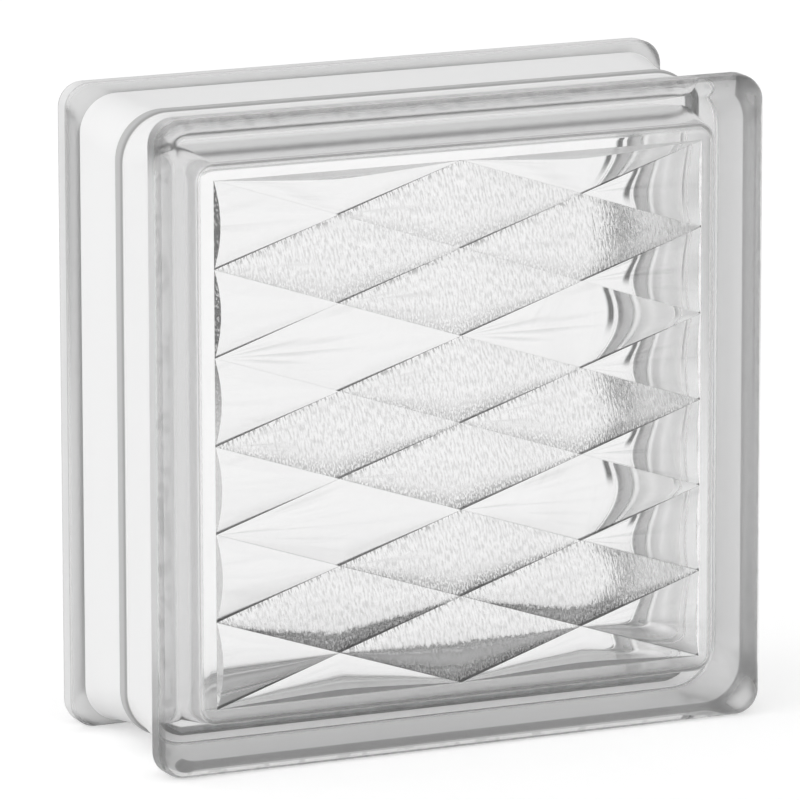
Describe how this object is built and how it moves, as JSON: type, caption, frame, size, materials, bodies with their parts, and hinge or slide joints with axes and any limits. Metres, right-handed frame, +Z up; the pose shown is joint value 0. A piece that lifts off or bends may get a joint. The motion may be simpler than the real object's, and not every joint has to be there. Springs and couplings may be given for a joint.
{
  "type": "glass block",
  "caption": "Square hollow glass wall block, two fused pressed halves with raised rims, a mortar channel all round and a diamond lens relief inside the front face.",
  "frame": {"origin": "middle of the foot that the block stands on, at the bottom of the rims and at mid depth", "axes": "+X along the faces, -Y out of the front face, +Z up"},
  "size_m": [0.19, 0.08, 0.19],
  "materials": {
    "glass": "pressed clear soda-lime glass, fire-polished, with three large diamonds of the relief finely stippled and the edges coated white in the mortar channel"
  },
  "bodies": {
    "root": {"front_half_shell": "glass", "rear_half_shell": "glass"}
  },
  "joints": []
}
